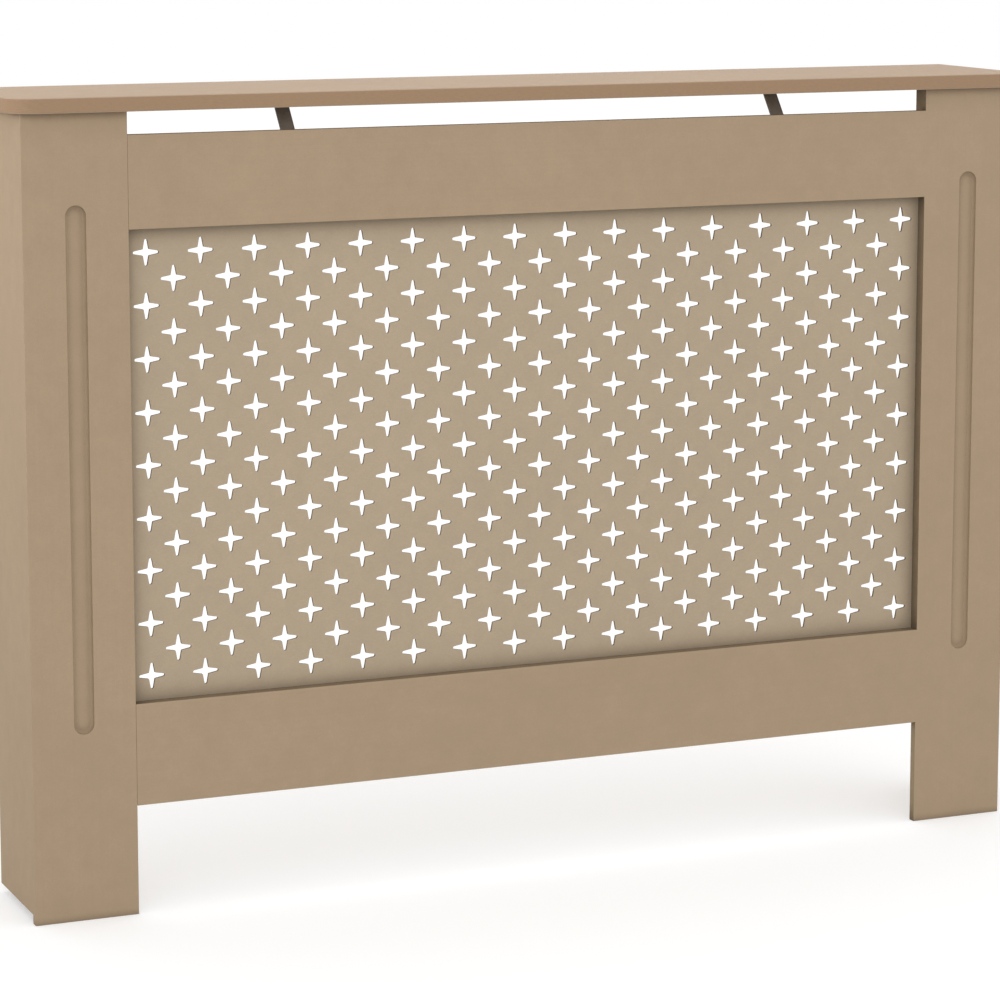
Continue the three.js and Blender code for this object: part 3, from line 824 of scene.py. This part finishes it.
def make_brace(side):
    """A strap that rises behind the top rail, leans back over the vent and lies flat under the shelf."""
    node = "shelf_brace_" + side
    low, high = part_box(node)
    half_gauge = STEEL_GAUGE / 2
    foot_y = low.y + half_gauge
    top_z = high.z - half_gauge
    bend_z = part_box("top_rail")[1].z - BRACE_BEND_DROP
    top_y = foot_y + (top_z - bend_z) * math.tan(BRACE_LEAN)
    corners = [Vector(p) for p in ((foot_y, low.z), (foot_y, bend_z), (top_y, top_z), (high.y, top_z))]
    middle_x = (low.x + high.x) / 2
    bm = sweep_strip(corners, high.x - low.x, BRACE_BEND, BRACE_END_ROUND,
                     lambda y, z, across: (middle_x + across, y, z))
    piece(bm, node + "_strap", dark_steel, "dark_steel", node)


def drilled(blank, cutter_mesh):
    """The blank's mesh less the cutter, made at once so that no modifier is left."""
    obj = bpy.data.objects.new("blank", blank)
    cutter = bpy.data.objects.new("cutter", cutter_mesh)
    for helper in (obj, cutter):
        bpy.context.scene.collection.objects.link(helper)
    cut = obj.modifiers.new("hole", "BOOLEAN")
    cut.object = cutter
    cut.operation = "DIFFERENCE"
    cut.solver = "EXACT"
    bpy.context.view_layer.update()
    mesh = bpy.data.meshes.new_from_object(obj.evaluated_get(bpy.context.evaluated_depsgraph_get()))
    bpy.data.objects.remove(obj)
    bpy.data.objects.remove(cutter)
    return mesh


def drill_mesh(centre):
    """Cutter for a bracket's hole, along Y."""
    bm = bmesh.new()
    bmesh.ops.create_cone(bm, cap_ends=True, segments=BRACKET_HOLE_SIDES, radius1=BRACKET_HOLE,
                          radius2=BRACKET_HOLE, depth=4 * STEEL_GAUGE)
    turn = Matrix.Translation(centre) @ Matrix.Rotation(math.pi / 2, 4, "X")
    bmesh.ops.transform(bm, matrix=turn, verts=bm.verts)
    return closed_mesh(bm, "drill")


def make_bracket(side):
    """An angle at the side panel's rear edge, its wall leg turned inwards and drilled."""
    node = "wall_bracket_" + side
    sign = -1 if side == "left" else 1
    low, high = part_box(node)
    outer_x, inner_x = (low.x, high.x) if sign < 0 else (high.x, low.x)
    half_gauge = STEEL_GAUGE / 2
    corners = [Vector(p) for p in ((outer_x - sign * half_gauge, low.y),
                                   (outer_x - sign * half_gauge, high.y - half_gauge),
                                   (inner_x, high.y - half_gauge))]
    middle_z = (low.z + high.z) / 2
    bm = sweep_strip(corners, high.z - low.z, BRACKET_BEND, BRACKET_CORNER,
                     lambda x, y, across: (x, y, middle_z + across))
    blank = closed_mesh(bm, node)
    hole_x = (inner_x + outer_x - sign * STEEL_GAUGE) / 2
    drill = drill_mesh(Vector((hole_x, high.y - half_gauge, middle_z)))
    place(drilled(blank, drill), node + "_angle", zinc_steel, "zinc_steel", node)


# ---------------------------------------------------------------------------------------------------
# Screws and dowels
# ---------------------------------------------------------------------------------------------------


def turned(bm, rows, sides, radius_at):
    """A closed body of revolution about Z: `rows` are heights, `radius_at(z, angle)` gives its surface."""
    loops = []
    for z in rows:
        loop = []
        for i in range(sides):
            angle = 2 * math.pi * i / sides
            r = radius_at(z, angle)
            loop.append(bm.verts.new((r * math.cos(angle), r * math.sin(angle), z)))
        loops.append(loop)
    lofted(bm, loops)


def screw_mesh(name, length, head_profile):
    """A cross-recess wood screw along Z, its point at -length."""
    head_rows = [(z * MM, radius * MM) for z, radius in head_profile]
    thread_top = head_rows[0][0] - SHANK
    threaded = length + thread_top
    steps = int(threaded / SCREW_PITCH * THREAD_ROWS)
    rows = [SCREW_POINT_GAP - length + threaded * i / steps for i in range(steps)]

    def shank(z, angle):
        point = min(1.0, (z + length) / SCREW_POINT)
        phase = (z / SCREW_PITCH - angle / (2 * math.pi)) % 1.0
        ridge = max(0.0, 1 - abs(phase - 0.5) * THREAD_STEEPNESS)
        return point * (SHANK - THREAD_HEIGHT + THREAD_HEIGHT * ridge)

    head = dict([(thread_top, SHANK - THREAD_HEIGHT / 2)] + head_rows)
    bm = bmesh.new()
    turned(bm, rows + list(head), SCREW_SIDES, lambda z, a: head[z] if z in head else shank(z, a))
    return drilled(closed_mesh(bm, name), cross_recess(head_rows[-1][0]))


def cross_recess(top):
    """Cutter for a cross recess whose four wings taper towards the bottom."""
    bm = bmesh.new()
    loops = []
    for z, share in ((top - RECESS_DEPTH, RECESS_FLOOR), (top + RECESS_OVERRUN, RECESS_MOUTH)):
        reach = RECESS_REACH * share
        wing = RECESS_WING * share
        plan = []
        for turn in range(4):
            spin = Matrix.Rotation(turn * math.pi / 2, 2)
            corners = ((reach, -wing), (reach, wing), (RECESS_WING, RECESS_WING))
            plan += [spin @ Vector(corner) for corner in corners]
        loops.append([bm.verts.new((p.x, p.y, z)) for p in plan])
    lofted(bm, loops)
    return closed_mesh(bm, "recess")


def dowel_mesh():
    """A fluted dowel along Z, chamfered at both ends."""
    half = DOWEL_LENGTH / 2
    shoulder = half - DOWEL_CHAMFER

    def surface(z, angle):
        end = DOWEL_CHAMFER if abs(z) > shoulder else 0.0
        groove = DOWEL_FLUTE_DEPTH * (0.5 - 0.5 * math.cos(DOWEL_FLUTES * angle))
        return DOWEL_RADIUS - end - groove

    bm = bmesh.new()
    turned(bm, [-half, -shoulder, shoulder, half], DOWEL_FLUTES * DOWEL_FLUTE_SIDES, surface)
    return closed_mesh(bm, "dowel")


def seat(mesh, node, direction, material, slot, head=0.0):
    """A copy of `mesh` on `node`'s axis: Z turned to `direction`, its origin `head` short of the end."""
    low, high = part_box(node)
    middle = (low + high) / 2
    reach = abs((high - low).dot(direction)) / 2
    origin = middle + direction * (reach - head)
    turn = Vector((0, 0, 1)).rotation_difference(direction).to_matrix().to_4x4()
    copy = mesh.copy()
    copy.transform(Matrix.Translation(origin) @ turn)
    place(copy, node + "_piece", material, slot, node)


def make_fasteners():
    """Every screw and dowel, with its head turned the way from which it is driven."""
    head_down = Vector((0, 0, -1))
    head_back = Vector((0, 1, 0))
    along_x = Vector((1, 0, 0))
    pan_height = PAN_HEAD[-1][0] * MM
    brace_screw = screw_mesh("brace_screw", BRACE_SCREW, PAN_HEAD)
    bracket_screw = screw_mesh("bracket_screw", BRACKET_SCREW, PAN_HEAD)
    corner_screw = screw_mesh("corner_screw", CORNER_SCREW, COUNTERSUNK_HEAD)
    shelf_screw = screw_mesh("shelf_screw", SHELF_SCREW, COUNTERSUNK_HEAD)
    dowel = dowel_mesh()
    for node in sorted(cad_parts):
        if node.startswith("brace_screw"):
            head = head_back if "lower" in node else head_down
            seat(brace_screw, node, head, dark_steel, "dark_steel", pan_height)
        elif node.startswith("bracket_screw"):
            head = along_x if "_left" in node else -along_x
            seat(bracket_screw, node, head, zinc_steel, "zinc_steel", pan_height)
        elif node.startswith("corner_screw"):
            seat(corner_screw, node, head_back, zinc_steel, "zinc_steel")
        elif node.startswith("shelf_screw"):
            seat(shelf_screw, node, head_down, zinc_steel, "zinc_steel")
        elif node.startswith("frame_dowel"):
            low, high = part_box(node)
            seat(dowel, node, along_x, beech, "beech", (high.x - low.x) / 2)


# ---------------------------------------------------------------------------------------------------
# Camera, light and floor
# ---------------------------------------------------------------------------------------------------

SENSOR = 36.0  # mm, as is the lens
LENS = 125.985
LENS_SHIFT = -0.12
CAMERA_PLACE = (-1.42748, -3.33113, 1.02898)
CAMERA_YAW = math.radians(22.975)
CAMERA_PITCH = math.radians(8.277)

KEY_POWER = 20.0
SIDE_POWER = 0.75
OVERHEAD_POWER = 6.5
WORLD_LEVEL = 0.99

FLOOR_REACH = 12.0
FLOOR_DROP = 0.1 * MM  # so that it doesn't touch the feet
FLOOR_COLOUR = (0.72, 0.72, 0.72, 1.0)
FLOOR_GLOW = 0.34


def make_camera():
    """The photograph's view: from the front left and a little above the shelf, with a long lens."""
    data = bpy.data.cameras.new("camera")
    data.sensor_width = SENSOR
    data.lens = LENS
    data.shift_y = LENS_SHIFT
    camera = bpy.data.objects.new("camera", data)
    camera.location = CAMERA_PLACE
    camera.rotation_euler = (math.pi / 2 - CAMERA_PITCH, 0, -CAMERA_YAW)
    bpy.context.scene.collection.objects.link(camera)
    bpy.context.scene.camera = camera


def soft_box(name, position, target, size, power, spread=180):
    """A rectangular area lamp. `spread` is the full angle of its beam in degrees."""
    data = bpy.data.lights.new(name, "AREA")
    data.shape = "RECTANGLE"
    data.size, data.size_y = size
    data.energy = power
    data.spread = math.radians(spread)
    light = bpy.data.objects.new(name, data)
    light.location = position
    light.rotation_euler = (Vector(target) - Vector(position)).to_track_quat("-Z", "Y").to_euler()
    bpy.context.scene.collection.objects.link(light)


def make_lights():
    soft_box("key", position=(-1.6, -3.4, 2.4), target=(0.0, 0.0, 0.45), size=(2.4, 2.0), power=KEY_POWER)
    soft_box("side", position=(-3.0, 0.5, 1.5), target=(-0.56, 0.0, 0.95), size=(0.8, 0.8),
             power=SIDE_POWER, spread=30)
    soft_box("overhead", position=(0.0, 0.7, 3.2), target=(0.0, 0.05, 0.8), size=(3.0, 1.6),
             power=OVERHEAD_POWER)


def make_world():
    """A world that looks white, also through gloss and glass, and lights the cabinet a little less."""
    world = bpy.data.worlds.new("studio")
    bpy.context.scene.world = world
    world.use_nodes = True
    nodes, links = world.node_tree.nodes, world.node_tree.links
    nodes.clear()
    path = nodes.new("ShaderNodeLightPath")
    seen = path.outputs["Is Camera Ray"]
    for ray in ("Is Glossy Ray", "Is Transmission Ray"):
        either = nodes.new("ShaderNodeMath")
        either.operation = "MAXIMUM"
        links.new(seen, either.inputs[0])
        links.new(path.outputs[ray], either.inputs[1])
        seen = either.outputs[0]
    strength = nodes.new("ShaderNodeMapRange")
    strength.inputs["To Min"].default_value = WORLD_LEVEL
    strength.inputs["To Max"].default_value = 1.0
    links.new(seen, strength.inputs["Value"])
    background = nodes.new("ShaderNodeBackground")
    background.inputs["Color"].default_value = WHITE
    links.new(strength.outputs["Result"], background.inputs["Strength"])
    output = nodes.new("ShaderNodeOutputWorld")
    links.new(background.outputs[0], output.inputs["Surface"])


def make_floor():
    """A pale floor that reads as the white backdrop and still keeps the cabinet's soft shadow."""
    mesh = bpy.data.meshes.new("floor")
    bm = bmesh.new()
    bmesh.ops.create_grid(bm, x_segments=1, y_segments=1, size=FLOOR_REACH)
    bm.to_mesh(mesh)
    bm.free()
    floor = bpy.data.objects.new("floor", mesh)
    floor.location.z = -FLOOR_DROP
    bpy.context.scene.collection.objects.link(floor)
    g = Graph("floor")
    path = g.add("ShaderNodeLightPath").outputs
    seen = g.math("MAXIMUM", path["Is Camera Ray"], path["Is Transmission Ray"])
    seen = g.math("MAXIMUM", seen, path["Is Glossy Ray"])
    glow = g.add("ShaderNodeEmission", {"Color": WHITE, "Strength": g.product(seen, FLOOR_GLOW)})
    plain = g.add("ShaderNodeBsdfDiffuse", {"Color": FLOOR_COLOUR})
    both = g.add("ShaderNodeAddShader")
    g.link(plain.outputs[0], both.inputs[0])
    g.link(glow.outputs[0], both.inputs[1])
    g.link(both.outputs[0], g.output.inputs["Surface"])
    g.tree.nodes.remove(g.shader)
    mesh.materials.append(g.material)


# ---------------------------------------------------------------------------------------------------
# The scene
# ---------------------------------------------------------------------------------------------------

make_camera()
make_lights()
make_world()
make_floor()

make_shelf()
make_rails()
make_grille()
for hand in ("left", "right"):
    make_stile(hand)
    make_side(hand)
    make_brace(hand)
    make_bracket(hand)
    dress("stile_batten_" + hand, mdf_upright, EDGE_EASE)
    dress("corner_batten_" + hand, pine_upright, STRIP_EASE)
    dress("shelf_cleat_" + hand, pine_cleat, STRIP_EASE)
for level in ("top", "bottom"):
    dress("rail_backing_" + level, mdf_rail, EDGE_EASE)
make_fasteners()

scene = bpy.context.scene
scene.view_settings.view_transform = "Standard"
